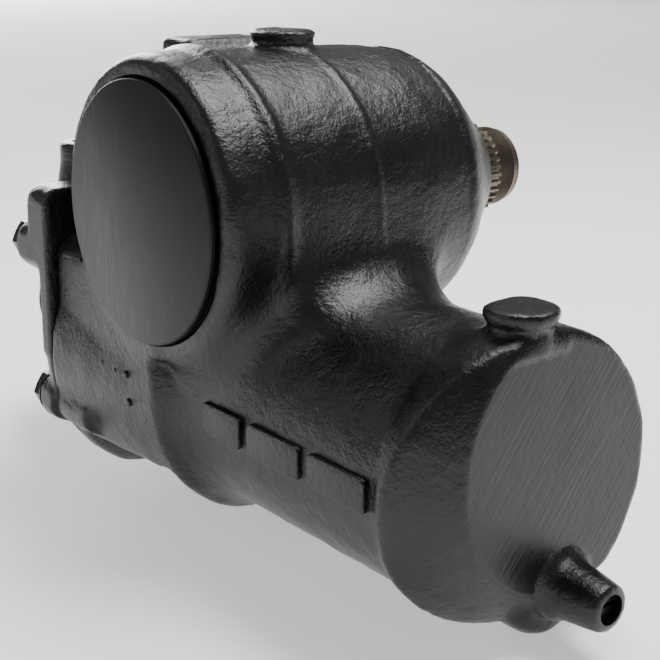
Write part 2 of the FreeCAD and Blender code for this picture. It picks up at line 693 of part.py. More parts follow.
def thrust_bearing(x0):
    """Caged needles between two washers, 3.4 wide, starting at x0."""
    washers = [ring_x(23.5, 15.4, x0, x0 + 0.7), ring_x(23.5, 15.4, x0 + 2.7, x0 + 3.4)]
    needles = []
    for step in range(24):
        needle = Part.makeCylinder(0.98, 6.0, vec(x0 + 1.7, PISTON_Y, PISTON_Z + 16.5), Z_AXIS)
        needle.rotate(vec(0, PISTON_Y, PISTON_Z), X_AXIS, 15 * step)
        needles.append(needle)
    return washers + needles


def worm_bearing_retainer():
    """Threaded ring that holds the worm's thrust bearings, with four spanner holes."""
    ring = ring_x(30.0, 17.6, -109.9, -103.6)
    for angle in (45, 135, 225, 315):
        centre_y = PISTON_Y + 24 * math.cos(math.radians(angle))
        centre_z = PISTON_Z + 24 * math.sin(math.radians(angle))
        hole = rod_x(2.5, -107, -103, centre_y, centre_z)
        ring = ring.cut(hole)
    return ring


def input_needle_bearing():
    parts = [ring_x(19, 16.6, -187, -173)]
    for step in range(20):
        angle = 2 * math.pi * step / 20
        centre_y = PISTON_Y + 15.3 * math.cos(angle)
        centre_z = PISTON_Z + 15.3 * math.sin(angle)
        parts.append(rod_x(1.24, -185.5, -174.5, centre_y, centre_z))
    return parts


def input_oil_seal():
    case = ring_x(22, 17, -196, -188.5).cut(ring_x(20.8, 16, -194.5, -188))
    return fuse([case, ring_x(17.2, 14 + GAP, -196, -193)])


def input_dust_cap():
    """Rubber cap over the hub, with a lip on the shaft."""
    body = turn_x([(-205, 18), (-203, 22), (-200, 31), (-198, 32.5), (-190, 32.5)])
    body = body.cut(rod_x(30, -198, -189))
    return body.cut(rod_x(14 + GAP, -206, -197)).cut(ring_x(26, 18, -201.5, -197))


# ---------------------------------------------------------------- valve housing
def flange_outline(x0, x1):
    """Joint flange: a tapered round below, square shoulders above and the raised front edge."""
    round_part = turn_x([(x0, NECK_R - 4), (x0 + 2, NECK_R - 2), (x1, NECK_R)])
    shoulders = box(x0, x1, across(-79), across(76), -94, -28)
    raised = box(x0, x1, across(-79), across(30), -60, EAR_TOP_Z)
    thickness = x1 - x0
    shoulder_edges = [e for e in shoulders.Edges if abs(e.Length - thickness) < 0.01
                      and e.CenterOfMass.z > -30 and e.CenterOfMass.y > PISTON_Y]
    raised_edges = [e for e in raised.Edges if abs(e.Length - thickness) < 0.01 and e.CenterOfMass.z > -10]
    return fuse([round_part.cut(flat_bottom()), shoulders.makeFillet(10, shoulder_edges),
                 raised.makeFillet(10, raised_edges)])


def front_ear():
    """Thick block behind the raised edge, with the boss under the upper front bolt."""
    block = box(-118, -103, across(-80), across(-20), -48, EAR_TOP_Z)
    edges = [e for e in block.Edges if abs(e.Length - 15) < 0.01 and e.CenterOfMass.y < across(-50)]
    return fuse([block.makeFillet(10, edges), rod_x(14.6, -126, -103.5, *JOINT_BOLTS[1][:2])])


def valve_housing():
    tower = box(-139, -103, across(-52), across(44), -96, -6)
    tower_edges = [e for e in tower.Edges if e.Length > 30 and e.CenterOfMass.z > -60]
    parts = [
        flange_outline(-104, SEAM_X),
        front_ear(),
        turn_x([(-198, 29), (-197, 29.9), (-188, 29.9), (-176, 31), (-168, 40), (-152, 42), (-146, 48),
                (-103, 54)]),
        tower.makeFillet(8, tower_edges),
        rod_x(15, -118, -103, *JOINT_BOLTS[2][:2]),
        rod_x(13.5, -109.5, -96, *JOINT_BOLTS[0][:2]),
        rod_x(13.5, -109.5, -96, *JOINT_BOLTS[3][:2]),
        rod_y(15, across(20), across(52), RELIEF_X, RELIEF_Z),
    ]
    port_boss = [(-30, 20), (-6, 17), (4, 15), (PORT_TOP_Z - 2, 15), (PORT_TOP_Z, 13.5)]
    parts += [turn_z(port_boss, PORT_X, y) for y in PORT_Y]
    body = fuse(parts)
    cuts = [
        rod_x(BORE_R + 1, -103, SEAM_X + 1),
        rod_x(30.05, -110, -102),
        rod_x(24.6, -123, -109),
        rod_x(24, -172.5, -122),
        rod_x(19, -187, -172),
        rod_x(16.5, -189, -186),
        rod_x(22, -199, -188.5),
        rod_y(9, across(26), across(53), RELIEF_X, RELIEF_Z),
        rod_y(3, across(5), across(27), RELIEF_X, RELIEF_Z),
        rod_y(2.5, PORT_Y[1], across(30), -127, RELIEF_Z),        # from the relief valve to the return
        rod_y(3.2, PORT_Y[0], across(-20), PRESSURE_GROOVE_X + 2, PISTON_Z),
    ]
    cuts += [rod_z(PORT_R, PORT_TOP_Z - 19, PORT_TOP_Z + 1, PORT_X, y) for y in PORT_Y]
    cuts += [rod_z(4.5, floor_z, PORT_TOP_Z - 18, x, y) for x, y, floor_z in PASSAGES]
    cuts += [rod_x(BOLT_R + 0.5, -140, SEAM_X + 1, y, z) for y, z, _ in JOINT_BOLTS]
    cuts += [rod_x(14.3, head_x - 18, head_x, y, z) for y, z, head_x in JOINT_BOLTS]
    return body.cut(fuse(cuts))


def valve_housing_bolts():
    bolts = []
    for y, z, head_x in JOINT_BOLTS:
        shank = rod_x(BOLT_R, head_x - 1, SEAM_X + 26, y, z)
        washer = rod_x(12.8, head_x - 1.2, head_x, y, z)
        head = hexagon(X_AXIS * -1, vec(head_x, y, z), 21, 9.5)
        rounding = turn_x([(head_x - 9.5, 10.2), (head_x - 8, 12.3), (head_x, 12.3)], y, z)
        bolts.append(fuse([shank, washer, head.common(rounding)]))
    return bolts


def valve_housing_o_ring():
    inner, outer = SEAM_GROOVE_R
    return torus_x((inner + outer) / 2, SEAM_GROOVE_DEPTH / 2 - GAP, SEAM_X + SEAM_GROOVE_DEPTH / 2)


def relief_cap():
    cap = fuse([rod_y(9, across(42), across(52.1), RELIEF_X, RELIEF_Z),
                hexagon(Y_AXIS, vec(RELIEF_X, across(52), RELIEF_Z), 24, 8)])
    return cap.cut(rod_y(5.5, across(41), across(46), RELIEF_X, RELIEF_Z))


def relief_spring():
    start = vec(RELIEF_X, across(31.6), RELIEF_Z)
    end = vec(RELIEF_X, across(45.9), RELIEF_Z)
    return coil_spring(4.6, 0.75, 5, start, end, Y_AXIS)


def relief_poppet():
    profile = [(across(25.2), 1.2), (across(27.2), 3.4), (across(28), 7.5), (across(31.5), 7.5)]
    stem = rod_y(3.4, across(31), across(36), RELIEF_X, RELIEF_Z)
    return fuse([turn_y(profile, RELIEF_X, RELIEF_Z), stem])


# ---------------------------------------------------------------- build
PIECES = {
    "gear_housing": gear_housing,
    "cover_cap": cover_cap,
    "cover_snap_ring": cover_snap_ring,
    "side_cover": side_cover,
    "cover_o_ring": cover_o_ring,
    "lash_adjuster": lash_adjuster,
    "adjuster_lock_nut": adjuster_lock_nut,
    "adjuster_retainer": adjuster_retainer,
    "cover_bearing_shell": lambda: ring_y(25.5, 22.6, depth(25), depth(46)),
    "cover_bearing_rollers": lambda: needle_row(21.28, 1.24, 44, depth(26), depth(45)),
    "main_bearing_shell": lambda: ring_y(34.97, 32.1, depth(111.5), depth(152)),
    "main_bearing_rollers": lambda: needle_row(29.54, 2.45, 32, depth(113), depth(151)),
    "sector_shaft": sector_shaft,
    "output_oil_seal": output_oil_seal,
    "seal_back_up_ring": seal_back_up_ring,
    "seal_snap_ring": seal_snap_ring,
    "output_dust_seal": output_dust_seal,
    "rack_piston": rack_piston,
    "piston_seal_ring": piston_seal_ring,
    "piston_o_ring": piston_o_ring,
    "piston_plug": piston_plug,
    "recirculating_balls": recirculating_balls,
    "ball_return_guide": ball_return_guide,
    "guide_clamp": guide_clamp,
    "guide_clamp_screws": guide_clamp_screws,
    "worm_shaft": worm_shaft,
    "valve_sleeve": valve_sleeve,
    "sleeve_seal_rings": sleeve_seal_rings,
    "torsion_bar": torsion_bar,
    "torsion_bar_pin": torsion_bar_pin,
    "front_thrust_bearing": lambda: thrust_bearing(-113.45),
    "rear_thrust_bearing": lambda: thrust_bearing(-122.95),
    "worm_bearing_retainer": worm_bearing_retainer,
    "input_shaft": input_shaft,
    "input_needle_bearing": input_needle_bearing,
    "input_oil_seal": input_oil_seal,
    "input_dust_cap": input_dust_cap,
    "valve_housing": valve_housing,
    "valve_housing_bolts": valve_housing_bolts,
    "valve_housing_o_ring": valve_housing_o_ring,
    "relief_cap": relief_cap,
    "relief_spring": relief_spring,
    "relief_poppet": relief_poppet,
    "limiter_screw": limiter_screw,
    "limiter_o_ring": limiter_o_ring,
    "limiter_plunger": limiter_plunger,
    "limiter_spring": limiter_spring,
}

for name, make in PIECES.items():
    export(name, make())
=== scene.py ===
import math

import bpy
from mathutils import Matrix, Vector


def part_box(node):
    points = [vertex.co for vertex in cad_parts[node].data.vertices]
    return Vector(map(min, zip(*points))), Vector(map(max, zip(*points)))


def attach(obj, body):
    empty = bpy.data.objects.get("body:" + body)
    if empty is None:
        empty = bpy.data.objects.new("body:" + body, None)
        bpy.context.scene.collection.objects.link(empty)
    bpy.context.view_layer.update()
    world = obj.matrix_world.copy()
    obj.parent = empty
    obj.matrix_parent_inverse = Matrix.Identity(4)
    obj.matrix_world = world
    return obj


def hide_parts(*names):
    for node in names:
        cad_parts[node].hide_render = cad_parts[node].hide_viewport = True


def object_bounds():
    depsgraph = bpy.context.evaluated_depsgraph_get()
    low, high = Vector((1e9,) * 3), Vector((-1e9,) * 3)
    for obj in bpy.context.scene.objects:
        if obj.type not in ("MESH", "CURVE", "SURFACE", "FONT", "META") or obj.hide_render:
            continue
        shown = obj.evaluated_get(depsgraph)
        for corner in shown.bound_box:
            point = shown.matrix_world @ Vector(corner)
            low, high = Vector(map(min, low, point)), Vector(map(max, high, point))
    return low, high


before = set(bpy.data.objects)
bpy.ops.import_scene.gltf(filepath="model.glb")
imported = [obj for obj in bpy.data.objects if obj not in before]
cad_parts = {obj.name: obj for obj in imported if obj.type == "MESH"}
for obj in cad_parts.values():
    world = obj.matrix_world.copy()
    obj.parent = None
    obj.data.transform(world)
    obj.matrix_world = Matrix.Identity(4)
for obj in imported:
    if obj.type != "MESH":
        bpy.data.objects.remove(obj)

bl_info = {
    "name": "Power steering gear",
    "version": (1, 0, 0),
    "blender": (4, 5, 0),
    "location": "View3D > Sidebar > Steering gear",
    "description": "Builds the castings, finishes and stage of a recirculating-ball power steering gear",
    "category": "Object",
}

MM = 0.001
CAD_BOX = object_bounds()


# ---------------------------------------------------------------- places read from the frame, in mm
def low_high(node):
    low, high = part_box(node)
    return low / MM, high / MM


CAP_LOW, CAP_HIGH = low_high("cover_cap")
RING_LOW, RING_HIGH = low_high("piston_seal_ring")
HOUSING_LOW, HOUSING_HIGH = low_high("gear_housing")
SCREW_LOW, SCREW_HIGH = low_high("limiter_screw")
CAP_Y = CAP_LOW.y                                   # outer face of the cover cap
CAP_R = (CAP_HIGH.x - CAP_LOW.x) / 2
PISTON = ((RING_LOW.y + RING_HIGH.y) / 2, (RING_LOW.z + RING_HIGH.z) / 2)
BORE_R = (RING_HIGH.y - RING_LOW.y) / 2 + 0.02
SCREW = ((SCREW_LOW.y + SCREW_HIGH.y) / 2, (SCREW_LOW.z + SCREW_HIGH.z) / 2)
SEAM_X = HOUSING_LOW.x                              # joint face between the two castings
DRUM = (0.0, 0.0)                                   # the sector shaft's axis, along Y
FACE_X = 185.0                                      # ground face of the closed end
BARREL_END_X = 158.0                                # where the plain barrel runs into the closed end
FLAT_BOTTOM_Z = -162.0                              # flat under both halves of the joint
NECK_R = 79.0                                       # outside of the neck at the joint face
RIM_R = 73.2                                        # sharp rim where the neck ends
BEYOND = 120.0                                      # radius of a cutter that reaches past the whole joint
FINE_SIDES = 128                                    # sides of a large round body
HOLE_SIDES = 48                                     # sides of a small hole
CORNER_PASSES = 4                                   # smoothing of a casting's corners
SADDLE_PASSES = 240                                 # smoothing of the fillets round the saddle
HOUSING_LUMPS = ((16, 0.9), (4.5, 0.25))            # size and height of the cast skin's bumps
VALVE_LUMPS = ((14, 0.6), (4.5, 0.2))


def depth(distance):
    """Y of a plane the given distance behind the cover cap's face."""
    return CAP_Y + distance


def across(distance):
    """Y of a plane the given distance from the piston axis."""
    return PISTON[0] + distance


# ---------------------------------------------------------------- modelling by hand, step by step
AXES = {"X": Vector((1, 0, 0)), "Y": Vector((0, 1, 0)), "Z": Vector((0, 0, 1))}
FACING = {"X": (0, math.pi / 2, 0), "Y": (-math.pi / 2, 0, 0), "Z": (0, 0, 0)}


def to_object_mode():
    if bpy.context.object and bpy.context.object.mode != "OBJECT":
        bpy.ops.object.mode_set(mode="OBJECT")


def deselect():
    to_object_mode()
    bpy.ops.object.select_all(action="DESELECT")


def pick(*objects):
    deselect()
    for item in objects:
        item.select_set(True)
    bpy.context.view_layer.objects.active = objects[-1]


def settle(piece):
    """Puts the object at the origin, unturned and unscaled, with its place in its mesh."""
    pick(piece)
    bpy.ops.object.transform_apply(location=True, rotation=True, scale=True)
    return piece


def spot(axis, place, centre):
    """Point in metres at a place along an axis, with the other two coordinates in centre, all in mm."""
    first, second = centre
    point = {"X": (place, first, second), "Y": (first, place, second), "Z": (first, second, place)}[axis]
    return Vector(point) * MM


def turned(axis, stations, centre, sides=96):
    """Closed round body: a filled circle, extruded and resized from station to station of (place, radius)."""
    place, radius = stations[0]
    deselect()
    bpy.ops.mesh.primitive_circle_add(vertices=sides, radius=radius * MM, fill_type="NGON",
                                      location=spot(axis, place, centre), rotation=FACING[axis])
    piece = bpy.context.object
    bpy.ops.object.mode_set(mode="EDIT")
    bpy.ops.mesh.select_all(action="SELECT")
    for next_place, next_radius in stations[1:]:
        step = AXES[axis] * (next_place - place) * MM
        slide = {"value": step, "orient_type": "GLOBAL"}
        bpy.ops.mesh.extrude_region_move(TRANSFORM_OT_translate=slide)
        growth = next_radius / radius
        bpy.ops.transform.resize(value=(growth, growth, growth),
                                 center_override=spot(axis, next_place, centre))
        place, radius = next_place, next_radius
    bpy.ops.mesh.select_all(action="SELECT")
    bpy.ops.mesh.normals_make_consistent(inside=False)
    to_object_mode()
    return settle(piece)


def rod(axis, start, end, radius, centre, sides=96):
    return turned(axis, [(start, radius), (end, radius)], centre, sides)


def block(low, high, rounding=0.0, chosen=None, segments=5):
    """Box between two corners in mm, with the chosen edges rounded."""
    low, high = Vector(low), Vector(high)
    deselect()
    bpy.ops.mesh.primitive_cube_add(size=1, location=(low + high) / 2 * MM, scale=(high - low) * MM)
    piece = settle(bpy.context.object)
    if rounding:
        mesh = piece.data
        bpy.ops.object.mode_set(mode="EDIT")
        bpy.ops.mesh.select_mode(type="EDGE")
        bpy.ops.mesh.select_all(action="DESELECT")
        to_object_mode()
        for edge in mesh.edges:
            ends = [mesh.vertices[index].co / MM for index in edge.vertices]
            edge.select = chosen is None or chosen((ends[0] + ends[1]) / 2, (ends[1] - ends[0]).normalized())
        bpy.ops.object.mode_set(mode="EDIT")
        bpy.ops.mesh.bevel(offset=rounding * MM, segments=segments, affect="EDGES")
        to_object_mode()
    return piece


def ball(centre, radius, segments, rings):
    deselect()
    bpy.ops.mesh.primitive_uv_sphere_add(segments=segments, ring_count=rings, radius=radius * MM,
                                         location=Vector(centre) * MM)
    return settle(bpy.context.object)


def slice_off(piece, point, outward):
    """Cuts away what lies beyond a plane and closes the cut."""
    pick(piece)
    bpy.ops.object.mode_set(mode="EDIT")
    bpy.ops.mesh.select_all(action="SELECT")
    bpy.ops.mesh.bisect(plane_co=Vector(point) * MM, plane_no=outward, use_fill=True, clear_outer=True)
    to_object_mode()
    return piece


def finish_with(piece, kind, **settings):
    """Adds one modifier and applies it."""
    pick(piece)
    modifier = piece.modifiers.new(kind.title(), kind)
    for key, value in settings.items():
        setattr(modifier, key, value)
    bpy.ops.object.modifier_apply(modifier=modifier.name)
    return piece


def combine(piece, tools, operation="DIFFERENCE", solver="MANIFOLD"):
    """Cuts with, adds or keeps only the overlap with each tool in turn."""
    for tool in tools:
        finish_with(piece, "BOOLEAN", object=tool, operation=operation, solver=solver)
        bpy.data.objects.remove(tool)
    return piece


def cast_together(name, bodies, voxel, passes):
    """Joins overlapping bodies into one skin and softens its corners the way a sand casting has them."""
    pick(*bodies)
    bpy.ops.object.join()
    shell = bpy.context.object
    shell.name = name
    shell.data.name = name
    finish_with(shell, "REMESH", mode="VOXEL", voxel_size=voxel * MM)
    finish_with(shell, "SMOOTH", factor=0.5, iterations=passes)
    return shell


def soften(piece, passes, weight_at):
    """Smooths only where weight_at, a function of a point in mm, is above zero."""
    group = piece.vertex_groups.new(name="soft")
    for vertex in piece.data.vertices:
        weight = weight_at(vertex.co / MM)
        if weight > 0:
            group.add([vertex.index], min(weight, 1.0), "REPLACE")
    finish_with(piece, "SMOOTH", factor=0.5, iterations=passes, vertex_group="soft")
    piece.vertex_groups.clear()


def press_lumps(piece, size, height):
    """Uneven sand-cast skin: bumps of the given size and height in mm."""
    texture = bpy.data.textures.new("sand skin", "CLOUDS")
    texture.noise_scale = size * MM
    texture.noise_depth = 1
    finish_with(piece, "DISPLACE", texture=texture, texture_coords="LOCAL",
                strength=height * MM, mid_level=0.5)
    bpy.data.textures.remove(texture)


def grind_flat(piece, axis, limit, applies, keep_below=True):
    """Moves every point beyond a plane back onto it, as a grinder does, where applies(point) holds."""
    number = "XYZ".index(axis)
    for vertex in piece.data.vertices:
        point = vertex.co / MM
        beyond = point[number] > limit if keep_below else point[number] < limit
        if beyond and applies(point):
            vertex.co[number] = limit * MM


def everywhere(point):
    return True


def smooth_shade(piece, angle=35.0):
    pick(piece)
    bpy.ops.object.shade_smooth_by_angle(angle=math.radians(angle))


def ramp_down(value, start, end):
    """1 before start, 0 after end and straight between."""
    return max(0.0, min(1.0, (end - value) / (end - start)))


# ---------------------------------------------------------------- materials
def linear(hex_colour):
    """sRGB hex string to linear RGBA."""
    parts = [int(hex_colour[i:i + 2], 16) / 255 for i in (1, 3, 5)]
    return [c / 12.92 if c <= 0.04045 else ((c + 0.055) / 1.055) ** 2.4 for c in parts] + [1.0]


def add_node(tree, kind, links=None, **settings):
    """One shader node with its settings and links; a link's value may be a socket or a constant."""
    node = tree.nodes.new(kind)
    for key, value in settings.items():
        setattr(node, key, value)
    for socket, source in (links or {}).items():
        if isinstance(source, bpy.types.NodeSocket):
            tree.links.new(source, node.inputs[socket])
        else:
            node.inputs[socket].default_value = source
    return node


def new_material(name):
    material = bpy.data.materials.new(name)
    material.use_nodes = True
    material.node_tree.nodes.clear()
    return material, material.node_tree


def period(size_mm):
    """Noise scale for a pattern whose features are size_mm across, on metre coordinates."""
    return 1.0 / (size_mm * MM)


def two_tones(tree, factor, dark, light):
    links = {0: factor, 6: linear(dark), 7: linear(light)}
    return add_node(tree, "ShaderNodeMix", links, data_type="RGBA").outputs[2]


def span(tree, value, low, high, from_low=0.3, from_high=0.7):
    """Maps a noise value onto a range."""
    return add_node(tree, "ShaderNodeMapRange", {"Value": value, "From Min": from_low, "From Max": from_high,
                                                 "To Min": low, "To Max": high}).outputs[0]


def noise(tree, coordinates, size_mm, detail=3.0, roughness=0.55):
    links = {"Vector": coordinates, "Scale": period(size_mm), "Detail": detail, "Roughness": roughness}
    return add_node(tree, "ShaderNodeTexNoise", links).outputs["Fac"]


def stretched(tree, coordinates, scale, turn=(0, 0, 0)):
    links = {"Vector": coordinates, "Scale": scale, "Rotation": turn}
    return add_node(tree, "ShaderNodeMapping", links).outputs[0]


def math_of(tree, operation, first, second):
    return add_node(tree, "ShaderNodeMath", {0: first, 1: second}, operation=operation).outputs[0]


def painted_casting(name, dark, light, ground_axis, ground_at, beyond):
    """Satin black enamel sprayed over sand-cast iron: an orange-peel skin over fine sand grain, with the
    paint thinner and duller on faces that were ground flat, where straight grinding marks show."""
    material, tree = new_material(name)
    place = add_node(tree, "ShaderNodeTexCoord").outputs["Object"]
    separate = add_node(tree, "ShaderNodeSeparateXYZ", {0: place})
    side = "GREATER_THAN" if beyond else "LESS_THAN"
    reached = math_of(tree, side, separate.outputs[ground_axis], ground_at * MM)
    normal = add_node(tree, "ShaderNodeNewGeometry").outputs["True Normal"]
    facing = add_node(tree, "ShaderNodeSeparateXYZ", {0: normal})
    along_axis = math_of(tree, "ABSOLUTE", facing.outputs[ground_axis], 0.0)
    ground = math_of(tree, "MULTIPLY", reached, math_of(tree, "GREATER_THAN", along_axis, 0.96))
    grain = noise(tree, place, 1.1, 4.0, 0.6)                # sand grain, drawn coarse enough to show
    peel = noise(tree, place, 3.2, 2.0)                      # orange peel of the sprayed enamel
    patches = noise(tree, place, 28.0, 3.0)
    closed_end = ground_axis == "X"
    turn = (math.radians(38), 0, 0) if closed_end else (0, 0, 0)
    stretch = (0.02, 1, 0.05) if closed_end else (0.05, 1, 1)
    scratches = noise(tree, stretched(tree, stretched(tree, place, (1, 1, 1), turn), stretch), 1.8, 4.0)
    marks = math_of(tree, "ADD", scratches, noise(tree, place, 9.0, 3.0))
    skin = math_of(tree, "ADD", math_of(tree, "MULTIPLY", grain, 0.6), math_of(tree, "MULTIPLY", peel, 0.9))
    faint_marks = math_of(tree, "MULTIPLY", marks, 0.45)
    height = add_node(tree, "ShaderNodeMix", {0: ground, 2: skin, 3: faint_marks}).outputs[0]
    relief = {"Strength": 0.75, "Distance": 0.7 * MM, "Height": height}
    bump = add_node(tree, "ShaderNodeBump", relief).outputs[0]
    colour = two_tones(tree, span(tree, patches, 0.0, 1.0), dark, light)
    duller = math_of(tree, "ADD", patches, math_of(tree, "MULTIPLY", ground, 0.25))
    gloss = span(tree, duller, 0.24, 0.4, 0.3, 0.95)
    links = {"Base Color": colour, "Roughness": gloss, "Normal": bump, "IOR": 1.44, "Metallic": 0.0}
    shader = add_node(tree, "ShaderNodeBsdfPrincipled", links)
    add_node(tree, "ShaderNodeOutputMaterial", {0: shader.outputs[0]})
    return material


def plain_finish(name, dark, light, roughness, metallic, grain_mm, relief_mm=0.02,
                 stretch=(1, 1, 1), ior=1.5):
    """One finish with two close tones in patches and a fine grain, stretched along the tool's path."""
    material, tree = new_material(name)
    place = add_node(tree, "ShaderNodeTexCoord").outputs["Object"]
    grain = noise(tree, stretched(tree, place, stretch), grain_mm, 3.0)
    patches = noise(tree, place, 22.0, 2.0)
    low, high = roughness
    relief = {"Strength": 0.5, "Distance": relief_mm * MM, "Height": grain}
    links = {"Base Color": two_tones(tree, span(tree, patches, 0.0, 1.0), dark, light),
             "Roughness": span(tree, grain, low, high), "Metallic": metallic,
             "Normal": add_node(tree, "ShaderNodeBump", relief).outputs[0]}
    if not metallic:
        links["IOR"] = ior
    shader = add_node(tree, "ShaderNodeBsdfPrincipled", links)
    add_node(tree, "ShaderNodeOutputMaterial", {0: shader.outputs[0]})
    return material


def finishes(colours):
    """Every finish of the gear, by name: what each one is and what that gives the eye."""
    dark, light = colours.paint_dark, colours.paint_light
    steel, bright = colours.steel_dark, colours.steel_light
    rubber = colours.rubber
    return {
        # satin black enamel on sand-cast iron, ground at the closed end
        "enamelled housing": painted_casting(
            "enamelled sand-cast iron", dark, light, "X", FACE_X - 0.35, True),
        # the same enamel on the valve housing, ground along the front edge of its flange
        "enamelled valve housing": painted_casting(
            "enamelled sand-cast iron, valve side", dark, light, "Y", depth(0.3), False),
        # satin enamel on a pressed steel cap: smooth, with faint upright drawing streaks
        "enamelled cap": plain_finish(
            "enamelled pressed steel", "#0c0b0b", "#121110", (0.36, 0.46), 0.0, 1.2, 0.01,
            (1, 1, 0.06), 1.34),
        # enamel on forged bolt heads and the slotted screw: glossier
        "enamelled steel": plain_finish(
            "enamelled forged steel", dark, light, (0.24, 0.36), 0.0, 2.0, 0.05),
        # turned and rolled steel of the output end, brown-grey from a film of oil
        "rolled steel": plain_finish(
            "rolled shaft steel", steel, bright, (0.30, 0.44), 1.0, 0.5, 0.01, (1, 0.2, 1)),
        # ground and hardened steel: bright and even
        "ground steel": plain_finish(
            "ground hardened steel", "#7d7d80", "#9a9a9c", (0.14, 0.24), 1.0, 0.4, 0.004),
        # turned steel with fine tool rings
        "turned steel": plain_finish(
            "turned steel", "#6d6b68", "#85827d", (0.26, 0.38), 1.0, 0.4, 0.01, (1, 0.1, 0.1)),
        # oil-tempered spring wire: dark and slightly blue
        "spring steel": plain_finish(
            "oil-tempered spring steel", "#3e4045", "#55575c", (0.28, 0.4), 1.0, 0.6, 0.008),
        # machined ductile iron: darker than steel, with a dull open grain
        "ductile iron": plain_finish(
            "machined ductile iron", "#4b4a48", "#5f5d5a", (0.38, 0.52), 1.0, 0.8, 0.03),
        # yellow zinc-plated pressed steel of the ball return guide
        "plated steel": plain_finish(
            "zinc-plated pressed steel", "#8a8064", "#a49a7c", (0.28, 0.4), 1.0, 1.5, 0.01),
        # nitrile rubber: matte black with a faint bloom
        "rubber": plain_finish(
            "nitrile rubber", rubber, "#1d1c1b", (0.55, 0.7), 0.0, 1.4, 0.04, ior=1.52),
        # bronze-filled PTFE sealing rings: waxy brown
        "bronze-filled plastic": plain_finish(
            "bronze-filled PTFE", "#4a3a26", "#5c4a31", (0.42, 0.55), 0.0, 1.0, 0.02, ior=1.38),
    }


NODE_FINISHES = {
    "enamelled housing": ("gear_housing",),
    "enamelled valve housing": ("valve_housing", "relief_cap"),
    "enamelled cap": ("cover_cap",),
    "enamelled steel": ("valve_housing_bolts", "limiter_screw"),
    "rolled steel": ("sector_shaft", "input_shaft"),
    "ground steel": ("worm_shaft", "recirculating_balls", "main_bearing_rollers", "cover_bearing_rollers",
                     "main_bearing_shell", "cover_bearing_shell", "front_thrust_bearing",
                     "rear_thrust_bearing", "input_needle_bearing"),
    "turned steel": ("lash_adjuster", "adjuster_lock_nut", "adjuster_retainer", "torsion_bar",
                     "torsion_bar_pin", "valve_sleeve", "limiter_plunger", "relief_poppet",
                     "worm_bearing_retainer", "piston_plug"),
    "spring steel": ("relief_spring", "limiter_spring", "cover_snap_ring", "seal_snap_ring"),
    "ductile iron": ("rack_piston", "side_cover"),
    "plated steel": ("guide_clamp", "guide_clamp_screws", "ball_return_guide"),
    "rubber": ("output_oil_seal", "output_dust_seal", "input_oil_seal", "input_dust_cap", "cover_o_ring",
               "valve_housing_o_ring", "limiter_o_ring", "piston_o_ring"),
    "bronze-filled plastic": ("piston_seal_ring", "sleeve_seal_rings", "seal_back_up_ring"),
}
FINISH = {}


def finish_named(name):
    if not FINISH:
        FINISH.update(finishes(bpy.context.scene.gear_colours))
    return FINISH[name]


def dress(piece, finish):
    piece.data.materials.clear()
    piece.data.materials.append(finish_named(finish))


# ---------------------------------------------------------------- gear housing
def drum_body(sizes):
    """Sector shaft housing: rim, plain drum and the round shoulder at the output end."""
    radius = sizes.drum_radius / MM
    steps_in = [(4, 7.5), (4.5, 4.5), (7, 2), (12, 1), (28, 0.5), (87, 0.6), (128, 1.2), (146, 3.2),
                (154, 4.6), (160, 7.8), (168, 14), (176, 21), (184, 28), (192, 34), (200.4, 40.4)]
    return turned("Y", [(depth(d), radius - step) for d, step in steps_in], DRUM, FINE_SIDES)


def barrel_body(sizes):
    """Cylinder with a waist behind the joint face and a sharp rim where the neck ends."""
    radius = sizes.barrel_radius / MM
    stations = [(SEAM_X, NECK_R), (-86, 78), (-82, 75), (-73, 67), (-62, 62), (-16, 61.5), (-8, 63), (-5, 66),
                (-3, RIM_R), (1, RIM_R), (4, 71.4), (9, 68), (17, 64.6), (28, radius),
                (BARREL_END_X, radius)]
    return slice_off(turned("X", stations, PISTON), (0, 0, FLAT_BOTTOM_Z), (0, 0, -1))


def neck_body():
    """Upper part of the neck, without the waist."""
    neck = turned("X", [(SEAM_X, NECK_R + 0.3), (-3, RIM_R), (1, RIM_R)], PISTON)
    tilt = math.radians(-14)
    return slice_off(neck, (0, PISTON[0], PISTON[1] - 26), (0, -math.sin(tilt), -math.cos(tilt)))


def neck_shoulders():
    """Square shoulders of the joint flange, above the piston axis."""
    def upper_edge(middle, direction):
        return abs(direction.x) > 0.9 and middle.z > -40

    return block((SEAM_X, depth(5.5), -100), (0, across(76), -28), 12, upper_edge)


def end_body(sizes):
    """Thick closed end, slightly off the cylinder's axis, with a soft lower front edge."""
    radius = sizes.end_radius / MM
    barrel = sizes.barrel_radius / MM
    stations = [(142, barrel - 4), (148, barrel), (153, radius - 4.6), (158, radius - 2.2),
                (164, radius - 0.8), (171, radius), (181, radius), (184, radius - 1.2),
                (FACE_X + 0.6, radius - 6)]
    end = turned("X", stations, (across(2), PISTON[1] - 1.5), FINE_SIDES)
    soft_edge = ball((98, across(22), PISTON[1] + 10), 108, 96, 64)
    return combine(end, [soft_edge], "INTERSECT")


def saddle_body():
    """Trumpet that carries the drum's side down into the barrel's top."""
    fillet, foot, top, steps = 34.0, 104.0, 62.0, 8
    stations = []
    for step in range(steps + 1):
        place = foot - fillet * step / steps
        stations.append((place, top + fillet - math.sqrt(fillet ** 2 - (foot - place) ** 2)))
    trumpet = turned("X", [(0, 60)] + stations[::-1] + [(foot + 6, top - 3)], PISTON)
    slice_off(trumpet, (0, 0, PISTON[1] + 34), (0, 0, -1))
    slice_off(trumpet, (0, across(-52), 0), (0, -1, -0.25))
    return slice_off(trumpet, (0, across(56), 0), (0, 1, -0.25))


